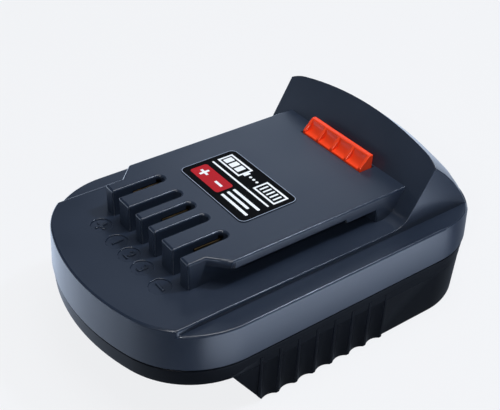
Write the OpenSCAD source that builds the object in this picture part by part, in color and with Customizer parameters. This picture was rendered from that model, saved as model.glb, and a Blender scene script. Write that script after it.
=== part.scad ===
// Tool battery adapter: a slide-on shell that lets a rail-mounted battery pack feed a tool
// with another foot. The tool slides on to the winged plate on top from the front, and the
// battery slides into the dock underneath, also from the front.
// Frame: +X across, +Y towards the raised rear peak, +Z up, origin at the centre of the base.

/* [Body] */
// Length of the body from front to rear
body_l = 122.5; // [119:0.5:130]
// Width of the body at the parting line
body_w = 76.9; // [76:0.1:84]
// Radius of the bowed front end
front_arc_r = 64.7; // [60:0.1:80]
// Radius of the front corners
front_corner_r = 25.85; // [20:0.05:28]
// Radius of the bowed rear end
rear_arc_r = 151.85; // [110:0.05:200]
// Radius of the rear corners
rear_corner_r = 25.15; // [20:0.05:28]
// Moulded wall thickness of both shells
wall = 2.5; // [2.2:0.1:3]
// Height of the upper shell's side band
band_h = 12.5; // [11.5:0.1:14]
// How far the band draws in towards the deck
band_draw = 0.65; // [0.3:0.05:1]
// Height of the lower shell's rim at the front
chin_h = 5.7; // [5:0.1:7]
// Height of the rim along the sides
rim_h = 3.1; // [2:0.1:4]
// How far the rim stands inside the band
rim_inset = 0.2; // [0.1:0.05:0.5]
// How far the rim draws in towards the base
rim_draw = 0.3; // [0.1:0.05:0.5]
// Height of the groove under the parting line
seam_h = 0.5; // [0.3:0.05:0.8]
// Depth of the groove under the parting line
seam_depth = 0.6; // [0.3:0.05:1]
// Height of the side skirts below the rim
skirt_h = 14.2; // [13:0.1:17]

/* [Deck and slide plate] */
// Width of the sunk shelf between the deck edge and the body side
shelf_w = 6.65; // [5:0.05:8]
// Depth of the shelf at the deck edge
shelf_drop = 1.7; // [1:0.1:2.5]
// How far the shelf rises towards the body side
shelf_rise = 0.5; // [0.2:0.1:0.9]
// Height of the slide plate above the deck
plate_h = 8.4; // [7.5:0.1:10]
// Width of the slide plate across its wings
plate_w = 52; // [49:0.5:56]
// Width of the narrow block under the wings
block_w = 41.9; // [40:0.1:44]
// Thickness of the wings
wing_t = 2.5; // [2:0.1:3.5]
// Thickness of the wings near the peak
heel_t = 3.8; // [3.5:0.1:4.5]
// Length of the thick stretch in front of the rail stop
heel_l = 11.5; // [6:0.5:16]
// Distance from the body's front to the block's front
nose_setback = 21.6; // [20:0.1:25]
// Length of the block's nose in front of the wings
nose_l = 5.3; // [3:0.1:8]
// Length of the wings' slanted front edge
wing_chamfer = 5; // [3:0.5:7]
// Length of the solid rail stop in front of the peak
rail_stop_l = 5.4; // [3:0.1:8]

/* [Slots] */
// Width of a contact slot
slot_w = 3.1; // [2.6:0.1:3.6]
// Length of a contact slot
slot_l = 15.4; // [14:0.1:18]
// Distance from the middle slot to the inner pair
slot_inner_x = 6.6; // [6:0.1:7]
// Distance from the middle slot to the outer pair
slot_outer_x = 15.4; // [15:0.1:16]
// Diameter of the sunk polarity discs
disc_d = 6; // [4:0.1:6.4]
// Depth of the polarity discs
disc_depth = 0.4; // [0.2:0.1:0.8]
// Distance from the body's front to the disc centres
disc_setback = 16.7; // [13.5:0.1:17.5]
// Width of the raised strokes of the + and - marks
mark_stroke = 0.8; // [0.5:0.1:1.2]

/* [Peak] */
// Distance from the body's rear to the foot of the peak's front face
peak_setback = 36.45; // [35:0.05:39]
// Backward lean of the front face
peak_lean = 30; // [25:1:33]
// Height of the ridge above the deck
peak_rise = 20.6; // [18:0.1:22]
// Slope of the rear face at the ridge
peak_slope = 36; // [33:0.5:40]
// Bow radius of the rear face from the ridge down
peak_bow_r = 65.7; // [60:0.1:75]
// Bow radius of the rear face from side to side
peak_arc_r = 120; // [100:5:160]
// Corner radius of the rear face
peak_corner_r = 16; // [12:0.5:18]
// Fillet radius between the deck and the front face
foot_r = 5; // [2:0.5:7]

/* [Latch and button] */
// Width of the latch wedge
latch_w = 26; // [22:0.5:28]
// Depth of the latch wedge from front edge to back face
latch_d = 4.7; // [4.2:0.1:5.2]
// Height of the latch wedge above the slide plate
latch_rise = 4; // [3:0.1:5]
// Gap between the latch wedge and the peak's front face
latch_gap = 0.9; // [0.7:0.1:1.5]
// Travel of the latch and of the button
travel = 4; // [3:0.1:4.5]
// Width of the release button
button_w = 24; // [18:0.5:26]
// Height of the button's lower edge above the deck
button_low = 2; // [1.5:0.1:2.5]
// Height of the button
button_h = 6.6; // [5.5:0.1:7]
// How far the button stands out of the rear face
button_proud = 0.5; // [0.3:0.1:0.8]
// Outer diameter of a latch spring
spring_d = 5; // [4.4:0.1:5.4]
// Wire diameter of a latch spring
spring_wire = 0.7; // [0.5:0.05:0.8]
// Turns of a latch spring
spring_turns = 6; // [4:1:7]
// Distance of the springs from the middle
spring_x = 9; // [8.8:0.1:9.6]

/* [Dock] */
// Width of the battery channel
dock_w = 66; // [64:0.2:67]
// Width of the gap between the rail lips
lip_gap = 57; // [54:0.2:60]
// Thickness of the rail lips
lip_t = 3.5; // [2.5:0.1:5]
// Distance from the body's rear to the dock's rear wall
dock_setback = 11.5; // [10:0.5:14]
// How far the skirts stand inside the body's sides at the rim
skirt_inset = 0.5; // [0.4:0.05:1]
// How far the skirts draw in towards the base
skirt_draw = 0.55; // [0.3:0.05:1]
// Distance from the body's front to the top of the skirts
skirt_setback = 24.2; // [20:0.1:30]
// Backward run of the skirts' front edge
skirt_rake = 9.8; // [5:0.1:12]
// Distance from the body's front to where the rim starts to narrow
chin_setback = 18.6; // [15:0.1:22]
// Length over which the rim narrows
chin_run = 13.3; // [8:0.1:18]
// Spacing of the skirt ribs
rib_pitch = 6.25; // [5.8:0.05:6.5]
// Number of ribs on a side
rib_count = 8; // [4:1:8]
// How far the ribs stand inside the body's sides
rib_inset = 0.4; // [0.3:0.05:0.6]
// Width of the flute between two ribs
flute_w = 5.3; // [4:0.1:5.6]
// Depth of the flute between two ribs
flute_depth = 0.95; // [0.6:0.05:1.2]
// Distance from the body's front to the first rib
rib_setback = 32.8; // [32:0.1:38]
// Width of the catch pocket for the battery's own latch
pocket_w = 18; // [14:0.5:24]
// Length of the catch pocket
pocket_l = 6; // [5:0.5:8]
// Depth of the catch pocket
pocket_depth = 4.6; // [4.2:0.1:6]
// Distance from the body's front to the catch pocket
pocket_setback = 14; // [12:0.5:16]

/* [Terminals] */
// Width of the terminal block
term_w = 42; // [41:0.5:46]
// Length of the terminal block
term_l = 12.5; // [11:0.5:13]
// Height of the terminal block below the dock's ceiling
term_drop = 11; // [10:0.5:11.5]
// Length of a blade in front of the block
blade_l = 15; // [12:0.5:18]
// Height of a blade
blade_h = 6.3; // [5:0.1:7]
// Thickness of the blades
blade_t = 0.8; // [0.6:0.1:1]
// Distance of the power blades from the middle
blade_x = 17; // [16:0.1:18]
// Distance of the signal blade from the middle
signal_x = 11; // [10:0.1:12]
// Width of a contact clip
clip_w = 4.4; // [4:0.1:4.6]
// Length of a contact clip
clip_l = 8.5; // [7:0.1:10]
// Sheet thickness of a contact clip
clip_t = 0.5; // [0.4:0.05:0.6]
// Thickness of the contact carrier
carrier_t = 3; // [2.4:0.1:3.5]

/* [Board and label] */
// Width of the circuit board
board_w = 42; // [40:0.5:42.5]
// Length of the circuit board
board_l = 30; // [28:0.5:31]
// Thickness of the circuit board
board_t = 1.6; // [1.2:0.1:2]
// Height of the board's posts
post_h = 3; // [2.5:0.1:4]
// Length of the fuse
fuse_l = 20; // [18:0.5:22]
// Diameter of the fuse's caps
fuse_d = 5.2; // [4.6:0.1:5.6]
// Width of the label
label_w = 30.8; // [24:0.2:34]
// Length of the label
label_l = 19.3; // [14:0.1:24]
// Thickness of the label
label_t = 0.2; // [0.1:0.05:0.3]
// Corner radius of the label
label_r = 2; // [1:0.1:3]

/* [Screws and fits] */
// Shank diameter of the case screws
case_screw_d = 3; // [2.6:0.1:3.2]
// Shank diameter of the small screws
small_screw_d = 2; // [1.8:0.1:2.2]
// Running gap around moving pieces
run_gap = 0.3; // [0.25:0.05:0.4]
// Gap around seated pieces
seat_gap = 0.1; // [0.05:0.05:0.15]

/* [Hidden] */
$fn = 64;
// Overrun of a cut past the face it opens
cut = 1;
// Half size of a block that stands for a half space
far = 200;
// Depth below the walls of a core that ties stretches of the body together
core_inset = 0.5;

// Levels
parting_z = skirt_h + chin_h;
ledge_z = parting_z - rim_h;
floor_z = skirt_h + wall;
deck_z = parting_z + band_h;
plate_z = deck_z + plate_h;
ceiling_z = deck_z - wall;
shelf_ceiling_z = ceiling_z - shelf_drop;
plate_ceiling_z = plate_z - wall;

// Body and deck lines
y_front = -body_l / 2;
y_rear = body_l / 2;
deck_edge = body_w / 2 - shelf_w;
block_front = y_front + nose_setback;
wing_front = block_front + nose_l;
slot_end = block_front + slot_l;
slots_x = [-slot_outer_x, -slot_inner_x, 0, slot_inner_x, slot_outer_x];
contacts_x = [-slot_outer_x, 0, slot_outer_x];
disc_y = y_front + disc_setback;
mark_l = 0.6 * disc_d;
shelf_z = deck_z - shelf_drop;

// Peak lines
foot_y = y_rear - peak_setback;
foot_run = foot_r * tan((90 - peak_lean) / 2);
plate_rear = foot_y + plate_h * tan(peak_lean);
ridge_y = foot_y + peak_rise * tan(peak_lean);
// Centre of the rear face's bow, and the slopes of the flats that make it up
bow_y = ridge_y - peak_bow_r * sin(peak_slope);
bow_z = deck_z + peak_rise - peak_bow_r * cos(peak_slope);
flat_turn = 6;
flat_slopes = [for (k = [0:3]) peak_slope + (k + 0.5) * flat_turn];
// How far the rear face's corners start outside the body
tail_flare = 0.5;
// Level at which the band steps out behind the rear face
step_drop = 5;
step_z = deck_z - step_drop;

// Latch lines
latch_back = plate_rear - latch_gap;
latch_front = latch_back - latch_d;
latch_y = (latch_front + latch_back) / 2;
latch_top = plate_z + latch_rise;
shoulder_w = 7;
shoulder_t = 3;
shoulder_z = plate_ceiling_z - run_gap;
// Spring cups: wall, height, roof over the spring, and room under them at full travel
cup_wall = 1.2;
cup_h = 8;
cup_roof = 2;
cup_room = 2;
cup_d = spring_d + 2 * run_gap + 2 * cup_wall;
cup_low = floor_z + travel + cup_room;
cup_high = cup_low + cup_h;
spring_top = cup_high - cup_roof;
pin_h = 2;
// Arm to the button: room between the cups, height over and depth under the deck, reach
// behind the latch, and thickness under the ramp
arm_room = 1;
ramp_rise = 4.5;
ramp_drop = 2;
ramp_reach = 11.6;
arm_t = 3;
arm_w = 2 * (spring_x - cup_d / 2) - arm_room;
ramp_top = deck_z + ramp_rise;
ramp_low = deck_z - ramp_drop;
ramp_back = latch_back + ramp_reach;
arm_low = ramp_low - arm_t;
// Guides: thickness, spare length below the shoulders, and lap into the block's side wall
guide_t = 1.5;
guide_spare = 1;
guide_lap = 1;
guide_low = shoulder_z - shoulder_t - travel - guide_spare;
// Wedge: width of the bar along its top, and height of its toe above the plate
latch_bar = 1.4;
latch_toe = 0.7;
// Cells of the wedge: walls, height of the front lip, run and rise of the floor, brow left
// under the bar
cell_count = 4;
cell_wall = 1.1;
cell_lip = 0.2;
cell_run = 2.4;
cell_rise = 0.8;
cell_brow = 0.25;

// Button lines
button_z = deck_z + button_low;
button_slope = acos((button_z + button_h / 2 - bow_z) / peak_bow_r);
finger_h = 5;
flange_edge = 1.8;
flange_t = 3;
// Room for the rear face's bow between the flange and the inside of that face
flange_gap = 1.1;

// Dock lines
skirt_front = y_front + skirt_setback;
dock_end = y_rear - dock_setback;
chin_end = y_front + chin_setback;
rib_x = body_w / 2 - rib_inset;
first_rib = y_front + rib_setback;
rib_edge = rib_pitch - flute_w;
flute_r = (pow(flute_w / 2, 2) + pow(flute_depth, 2)) / (2 * flute_depth);
pocket_y = y_front + pocket_setback;

// Terminal block lines
term_gap = 0.5;
term_rear = dock_end - term_gap;
term_front = term_rear - term_l;
term_y = (term_front + term_rear) / 2;
term_low = skirt_h - term_drop;
term_top = floor_z + post_h + board_t;
ear_l = 8;
ear_w = 8;
ear_t = 2.5;
ear_z = term_top - ear_t;
ear_x = term_w / 2 + ear_l / 2;
ear_post_d = 6;
// Blades: height above the block's foot, setback and length of the riser, and height of
// its end above the block
blade_lift = 2;
riser_setback = 2;
riser_l = 4;
riser_end = 2.5;
blade_z = term_low + blade_lift;
riser_front = term_front + riser_setback;
riser_back = riser_front + riser_l;
tail_z = term_top + riser_end;

// Contact lines
// Clips: setback from the slot's end, length of the tail, gap between the leaves and flare
// of their tips
clip_setback = 0.5;
clip_tail_l = 5;
clip_pinch = 0.4;
clip_flare = 0.3;
clip_back = slot_end - clip_setback;
clip_front = clip_back - clip_l;
clip_top = plate_z - wing_t;
clip_tail = clip_back + clip_tail_l;
clip_base_z = ceiling_z - clip_t - seat_gap;
// Carrier: lap in front of the clips, setback behind them, edge beside them, screw length in
// the fins, and shift of the screws from the middle of a fin
carrier_lap = 3;
carrier_setback = 0.5;
carrier_edge = 5;
carrier_bite = 5;
carrier_shift = 0.4;
carrier_front = clip_front - carrier_lap;
carrier_back = clip_back - carrier_setback;
carrier_screw_x = (slot_inner_x + slot_outer_x) / 2 - carrier_shift;
carrier_screw_y = (clip_front + clip_back) / 2;

// Board lines
board_z = floor_z + post_h;
board_top = board_z + board_t;
// Room between the board and the latch, and distance of the posts from the board's edges
board_room = 8;
post_edge = 3;
board_rear = latch_front - board_room;
board_front = board_rear - board_l;
post_x = board_w / 2 - post_edge;
posts_y = [board_front + post_edge, board_rear - post_edge];
// Fuse: height above the board, step between cap and body, length and wall of a holder
fuse_lift = 1;
fuse_step = 0.4;
fuse_clip_l = 4;
fuse_clip_wall = 0.6;
fuse_y = (board_front + board_rear) / 2;
fuse_z = board_top + fuse_lift + fuse_d / 2;

// Label lines: shift from the middle of the plate, and to the front of its length
label_x = -0.8;
label_shift = 9;
label_y = (slot_end + latch_front) / 2 - label_shift;

// Screw lines
boss_d = 7;
case_head_d = 5.4;
case_head_h = 2;
// Depth of a case screw's seat, and height of the lower bosses above the parting line
case_recess = 2.3;
boss_rise = 1;
case_seat_z = skirt_h + case_recess;
case_screw_l = 11;
boss_top = parting_z + boss_rise;
small_head_d = 3.8;
small_head_h = 1.5;
post_d = 5;
// Length of a small screw in its post
small_bite = 3.5;
// Depth of a hole past its screw's tip
hole_spare = 0.5;
// Front bosses: distance from the body's front, and room to the deck's edge
front_screw_setback = 17;
front_boss_room = 2.3;
front_screw_x = deck_edge - boss_d / 2 - front_boss_room;
front_screws = [for (s = [-1, 1]) [s * front_screw_x, y_front + front_screw_setback]];
// Rear bosses: gap to the terminal block, and lap past its front
rear_boss_gap = 1;
rear_boss_lap = 2;
rear_screw_x = term_w / 2 + boss_d / 2 + rear_boss_gap;
rear_screw_y = term_front - boss_d / 2 + rear_boss_lap;
rear_screws = [for (s = [-1, 1]) [s * rear_screw_x, rear_screw_y]];

// Leads: radius, lanes beside the latch guides and ends on the board, and routes lying on the
// board, round the latch guides and up to the clips
lead_r = 1.2;
signal_r = 0.7;
lead_sides = 8;
positive_lane = -18;
positive_pad = -14;
negative_lane = 18.6;
negative_pad = 14;
signal_lane = 15.8;
signal_pad = 10.5;
function lead_z(r) = board_top + r + seat_gap;
function tail_lead_z(r) = clip_base_z - r - seat_gap;
function rear_route(x0, x1, x2, r) = [
    [x0, riser_front, lead_z(r)], [x0, riser_front - 1.5, lead_z(r)],
    [(x0 + x1) / 2, latch_back + 4.6, lead_z(r)], [x1 - sign(x1) * 0.6, latch_back + 2.2, lead_z(r)],
    [x1, latch_back + 0.5, lead_z(r)], [x1, latch_front - 2.6, lead_z(r)],
    [(x1 + x2) / 2, latch_front - 6, lead_z(r)], [x2, latch_front - 9.5, lead_z(r)],
    [x2, latch_front - 13, lead_z(r)]];
function front_route(x0, x1, r) = [
    [x0, board_front + 9, lead_z(r)], [x0, board_front + 3, lead_z(r)],
    [x0, board_front, lead_z(r) + 0.3],
    [(x0 + x1) / 2, (board_front + clip_tail) / 2, (lead_z(r) + tail_lead_z(r)) / 2],
    [x1, clip_tail + 0.6, tail_lead_z(r) - 0.1], [x1, clip_tail - 0.8, tail_lead_z(r)],
    [x1, carrier_back + 1, tail_lead_z(r)]];

function unit(v) = v / norm(v);
// Direction of a route at point i
function along(p, i) = unit(p[min(i + 1, len(p) - 1)] - p[max(i - 1, 0)]);

// Closed tube of the given radius swept along a route that never runs straight up
module tube(p, r, sides) {
    rings = [for (i = [0:len(p) - 1])
        let (t = along(p, i), s = unit(cross(t, [0, 0, 1])), u = cross(s, t))
        for (k = [0:sides - 1]) p[i] + r * (cos(360 * k / sides) * s + sin(360 * k / sides) * u)];
    last = (len(p) - 1) * sides;
    caps = [for (k = [1:sides - 2]) each [[0, k, k + 1], [last, last + k + 1, last + k]]];
    skin = [for (i = [0:len(p) - 2], k = [0:sides - 1])
        let (a = i * sides + k, b = i * sides + (k + 1) % sides)
        each [[a, a + sides, b], [b, a + sides, b + sides]]];
    polyhedron(points = rings, faces = concat(caps, skin), convexity = 8);
}

// Flat shape with a bowed end at y = 0, tangent round corners and straight sides behind them
module rounded_end(half_w, arc_r, corner_r, reach) {
    cx = half_w - corner_r;
    cy = sqrt(pow(arc_r - corner_r, 2) - cx * cx) - arc_r;
    grow = 2 * arc_r / (arc_r - corner_r);
    translate([-half_w, -reach]) square([2 * half_w, reach + cy]);
    for (s = [-1, 1]) translate([s * cx, cy]) circle(corner_r);
    intersection() {
        translate([0, -arc_r]) circle(arc_r);
        polygon([[0, -arc_r], [cx * grow, (cy + arc_r) * grow - arc_r],
                 [-cx * grow, (cy + arc_r) * grow - arc_r]]);
        translate([-half_w, -reach]) square([2 * half_w, reach + cut]);
    }
}

// Plan of the body, drawn in by the same amount all round
module outline(inset) {
    translate([0, y_rear - inset])
        rounded_end(body_w / 2 - inset, rear_arc_r - inset, rear_corner_r - inset, y_rear - inset);
    translate([0, y_front + inset]) mirror([0, 1])
        rounded_end(body_w / 2 - inset, front_arc_r - inset, front_corner_r - inset,
                    y_rear - inset);
}

// One end of the body with slanted walls, its tip at y = 0: drawn in by low at the foot
// and by high at the top. Three cone sectors share their centres with the plan's arcs.
module drafted_end(arc_r, corner_r, low, high, h) {
    cx = body_w / 2 - corner_r;
    cy = sqrt(pow(arc_r - corner_r, 2) - cx * cx) - arc_r;
    wide = 2 * corner_r;
    // Line from the arc's centre through the corner's centre, where the two arcs meet
    ray = 2 * [cx, cy + arc_r];
    for (s = [0, 1]) mirror([s, 0, 0]) translate([cx, cy, 0]) intersection() {
        cylinder(h = h, r1 = corner_r - low, r2 = corner_r - high);
        linear_extrude(h) polygon([[0, 0], [wide, 0], [wide, wide], ray]);
    }
    intersection() {
        translate([0, -arc_r, 0]) cylinder(h = h, r1 = arc_r - low, r2 = arc_r - high);
        linear_extrude(h)
            polygon([[-cx, cy], [cx, cy], [cx, cy] + ray, [-cx, cy] + [-ray[0], ray[1]]]);
    }
}

// The body's plan with slanted walls, from z = 0 up
module drafted(low, high, h) {
    half = body_w / 2;
    front_run = front_arc_r
        - sqrt(pow(front_arc_r - front_corner_r, 2) - pow(half - front_corner_r, 2));
    rear_run = rear_arc_r
        - sqrt(pow(rear_arc_r - rear_corner_r, 2) - pow(half - rear_corner_r, 2));
    translate([0, y_rear, 0]) drafted_end(rear_arc_r, rear_corner_r, low, high, h);
    translate([0, y_front, 0]) mirror([0, 1, 0])
        drafted_end(front_arc_r, front_corner_r, low, high, h);
    translate([0, y_rear - rear_run, 0]) rotate([90, 0, 0])
        linear_extrude(body_l - front_run - rear_run)
            polygon([[low - half, 0], [half - low, 0], [half - high, h], [high - half, h]]);
    // Core inside the walls that laps into both ends, so that all three are one solid
    core = half - max(low, high) - core_inset;
    translate([-core, y_front + front_run - cut, core_inset])
        cube([2 * core, body_l - front_run - rear_run + 2 * cut, h - 2 * core_inset]);
}

// Everything in front of one flat of the rear face, drawn in by the given amount
module tail_flat(slope, inset) {
    translate([0, bow_y, bow_z]) rotate([90 - slope, 0, 0])
        translate([0, peak_bow_r - inset, -far]) linear_extrude(2 * far)
            rounded_end(body_w / 2 + tail_flare - inset, peak_arc_r - inset,
                        peak_corner_r - inset, far);
}

// Everything in front of the bowed rear face, drawn in by the given amount
module tail_form(inset) {
    intersection_for(slope = flat_slopes) tail_flat(slope, inset);
}

// Block of the raised peak, between its cheeks and behind its leaning front face
module peak_block(inset, base_z) {
    intersection() {
        translate([inset - deck_edge, foot_y - far / 2, base_z])
            cube([2 * (deck_edge - inset), far, far]);
        translate([0, foot_y, deck_z]) rotate([-peak_lean, 0, 0])
            translate([-far, inset, -far]) cube(2 * far);
        translate([0, 0, base_z]) linear_extrude(far) outline(max(inset, band_draw));
    }
}

// Profile drawn in Y and Z, as wide as given and centred on x
module across(w, x = 0) {
    translate([x - w / 2, 0, 0]) rotate([90, 0, 90]) linear_extrude(w) children();
}

// Screw along +Z: head under its seat at z = 0, shank above it
module screw(shank_d, shank_l, head_d, head_h) {
    difference() {
        union() {
            translate([0, 0, -head_h]) cylinder(h = head_h, d = head_d);
            cylinder(h = shank_l, d = shank_d);
        }
        for (a = [0, 90]) rotate(a)
            translate([-head_d / 3, -head_d / 12, -head_h - cut])
                cube([2 * head_d / 3, head_d / 6, head_h / 2 + cut]);
    }
}

module at_front_screws() { for (p = front_screws) translate(p) children(); }
module at_rear_screws() { for (p = rear_screws) translate(p) children(); }
module at_case_screws() {
    at_front_screws() children();
    at_rear_screws() children();
}
module at_carrier_screws() {
    for (s = [-1, 1]) translate([s * carrier_screw_x, carrier_screw_y, 0]) children();
}
module at_board_posts() { for (s = [-1, 1], y = posts_y) translate([s * post_x, y, 0]) children(); }
module at_ears() { for (s = [-1, 1]) translate([s * ear_x, term_y, 0]) children(); }
module at_springs() { for (s = [-1, 1]) translate([s * spring_x, latch_y, 0]) children(); }

// Outer form of the upper shell: band and deck, winged plate on its block, and the peak
module cover_form() {
    wings_l = plate_rear + wall / 2 - wing_front - wing_chamfer;
    intersection() {
        translate([0, 0, parting_z]) drafted(0, band_draw, band_h);
        union() {
            tail_form(0);
            translate([-far, -far, step_z - 2 * far]) cube(2 * far);
        }
    }
    intersection() {
        peak_block(0, deck_z - cut);
        tail_form(0);
    }
    translate([-block_w / 2, block_front, deck_z])
        cube([block_w, plate_rear - block_front + wall / 2, plate_h]);
    translate([0, wing_front + wing_chamfer, plate_z - wing_t]) {
        linear_extrude(wing_t)
            polygon([[-block_w / 2, -wing_chamfer], [block_w / 2, -wing_chamfer],
                     [plate_w / 2, 0], [-plate_w / 2, 0]]);
        translate([-plate_w / 2, 0, 0]) cube([plate_w, wings_l, wing_t]);
    }
    translate([-plate_w / 2, foot_y - rail_stop_l - heel_l, plate_z - heel_t])
        cube([plate_w, heel_l + rail_stop_l, heel_t]);
    translate([-plate_w / 2, foot_y - rail_stop_l, deck_z])
        cube([plate_w, plate_rear - foot_y + rail_stop_l + wall / 2, plate_h]);
    across(2 * deck_edge) foot_fillet();
}

// Hollow corner between the deck and the peak's front face, as a profile in Y and Z
module foot_fillet() {
    difference() {
        polygon([[foot_y - foot_run, deck_z], [foot_y - foot_run, deck_z - wall / 2],
                 [foot_y + wall, deck_z - wall / 2],
                 [foot_y + foot_run * sin(peak_lean) + wall / 2, deck_z + foot_run * cos(peak_lean)],
                 [foot_y + foot_run * sin(peak_lean), deck_z + foot_run * cos(peak_lean)]]);
        translate([foot_y - foot_run, deck_z + foot_r]) circle(foot_r);
    }
}

// Sunk shelves along both sides: deepest at the deck edge, rising a little towards the outside
module side_shelves() {
    for (s = [0, 1]) mirror([s, 0, 0]) translate([0, y_rear + cut, 0]) rotate([90, 0, 0])
        linear_extrude(body_l + 2 * cut)
            polygon([[deck_edge, deck_z + cut], [deck_edge, shelf_z],
                     [body_w / 2, shelf_z + shelf_rise],
                     [body_w / 2, deck_z + cut]]);
}

// Hollow of the upper shell: under the shelves, under the deck, in the block and in the peak
module cover_hollow() {
    translate([wall - block_w / 2, slot_end + wall, parting_z])
        cube([block_w - 2 * wall, plate_rear + 2 * wall - slot_end, plate_ceiling_z - parting_z]);
    intersection() {
        union() {
            translate([0, 0, parting_z - cut])
                linear_extrude(shelf_ceiling_z - parting_z + cut) outline(wall);
            intersection() {
                translate([0, 0, parting_z - cut])
                    linear_extrude(ceiling_z - parting_z + cut) outline(wall);
                translate([wall - deck_edge, y_front, parting_z - cut])
                    cube([2 * (deck_edge - wall), body_l, ceiling_z - parting_z + cut]);
            }
            peak_block(wall, parting_z);
        }
        tail_form(wall);
    }
}

module contact_slots() {
    for (x = slots_x) translate([x, 0, deck_z]) {
        translate([-slot_w / 2, block_front - cut, 0])
            cube([slot_w, slot_l - slot_w / 2 + cut, plate_h + cut]);
        translate([0, slot_end - slot_w / 2, 0]) cylinder(h = plate_h + cut, d = slot_w);
    }
    for (x = contacts_x)
        translate([x - clip_w / 2 - run_gap, clip_front - run_gap, ceiling_z - cut])
            cube([clip_w + 2 * run_gap, clip_l + 2 * run_gap, clip_top - ceiling_z + cut + run_gap]);
}

// Sunk discs in front of the slots, with a raised + and - on the outer two
module polarity_discs() {
    difference() {
        for (x = slots_x) translate([x, disc_y, deck_z - disc_depth])
            cylinder(h = disc_depth + cut, d = disc_d);
        for (x = [-slot_outer_x, slot_outer_x]) translate([x, disc_y, deck_z - disc_depth / 2])
            cube([mark_l, mark_stroke, disc_depth], center = true);
        translate([-slot_outer_x, disc_y, deck_z - disc_depth / 2])
            cube([mark_stroke, mark_l, disc_depth], center = true);
    }
}

// Ribs that guide the latch's shoulders, two on each side
module latch_guides() {
    for (s = [0, 1], y = [latch_front - run_gap - guide_t, latch_back + run_gap])
        mirror([s, 0, 0])
            translate([latch_w / 2 + run_gap + guide_lap, y, guide_low])
                cube([block_w / 2 - wall - latch_w / 2 - run_gap, guide_t,
                      plate_ceiling_z - guide_low + wall / 2]);
}

module upper_shell() {
    color("#46505f") difference() {
        union() {
            difference() {
                cover_form();
                cover_hollow();
            }
            translate([0, 0, boss_top]) at_front_screws()
                cylinder(h = ceiling_z - boss_top + wall / 2, d = boss_d);
            intersection() {
                translate([0, 0, boss_top]) at_rear_screws() cylinder(h = far, d = boss_d);
                peak_block(wall / 2, parting_z);
                tail_form(wall / 2);
            }
            latch_guides();
        }
        side_shelves();
        contact_slots();
        polarity_discs();
        translate([-latch_w / 2 - run_gap, latch_front - run_gap, plate_ceiling_z - cut])
            cube([latch_w + 2 * run_gap, latch_d + 2 * run_gap, wall + 2 * cut]);
        translate([-button_w / 2 - run_gap, ridge_y, button_z - run_gap])
            cube([button_w + 2 * run_gap, peak_setback, button_h + 2 * run_gap]);
        translate([0, 0, boss_top - cut]) at_case_screws()
            cylinder(h = case_seat_z + case_screw_l - boss_top + cut + hole_spare,
                     d = case_screw_d + 2 * seat_gap);
        translate([0, 0, ceiling_z - cut]) at_carrier_screws()
            cylinder(h = cut + carrier_bite + hole_spare, d = small_screw_d + 2 * seat_gap);
    }
}

// Rim of the lower shell: a fine groove under the parting line, and a shallow step along the
// sides and the rear, which fades into the rim's foot at the front corners
module rim_form() {
    difference() {
        translate([0, 0, skirt_h]) {
            drafted(rim_inset + rim_draw, rim_inset, chin_h - seam_h);
            linear_extrude(chin_h) outline(rim_inset + seam_depth);
        }
        difference() {
            across(body_w) polygon([[chin_end, skirt_h - cut], [chin_end, skirt_h],
                                    [chin_end + chin_run, ledge_z], [y_rear, ledge_z],
                                    [y_rear, skirt_h - cut]]);
            linear_extrude(parting_z) outline(skirt_inset);
        }
    }
}

// Side and rear skirts as one block, raked at the front edge, with ribs along the sides
module skirt_form() {
    rib_run = (rib_count - 1) * rib_pitch + rib_edge;
    intersection() {
        difference() {
            union() {
                drafted(skirt_inset + skirt_draw, skirt_inset, ledge_z);
                translate([-rib_x, first_rib - rib_edge / 2, 0]) cube([2 * rib_x, rib_run, ledge_z]);
            }
            for (s = [-1, 1], k = [0:rib_count - 2])
                translate([s * (rib_x + flute_r - flute_depth), first_rib + (k + 0.5) * rib_pitch,
                           -cut])
                    cylinder(h = ledge_z + cut, r = flute_r);
        }
        translate([0, skirt_front, skirt_h]) rotate([atan(skirt_rake / skirt_h), 0, 0])
            translate([-far, 0, -far]) cube(2 * far);
    }
}

// Space for the battery's foot: the channel over the rail lips and the gap between them
module dock_hollow() {
    intersection() {
        union() {
            translate([-dock_w / 2, y_front, lip_t])
                cube([dock_w, dock_end - y_front, skirt_h - lip_t]);
            translate([-lip_gap / 2, y_front, -cut])
                cube([lip_gap, dock_end - y_front, skirt_h + cut]);
        }
        translate([0, 0, -cut]) linear_extrude(skirt_h + cut) outline(skirt_inset + skirt_draw + wall);
    }
}

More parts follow.
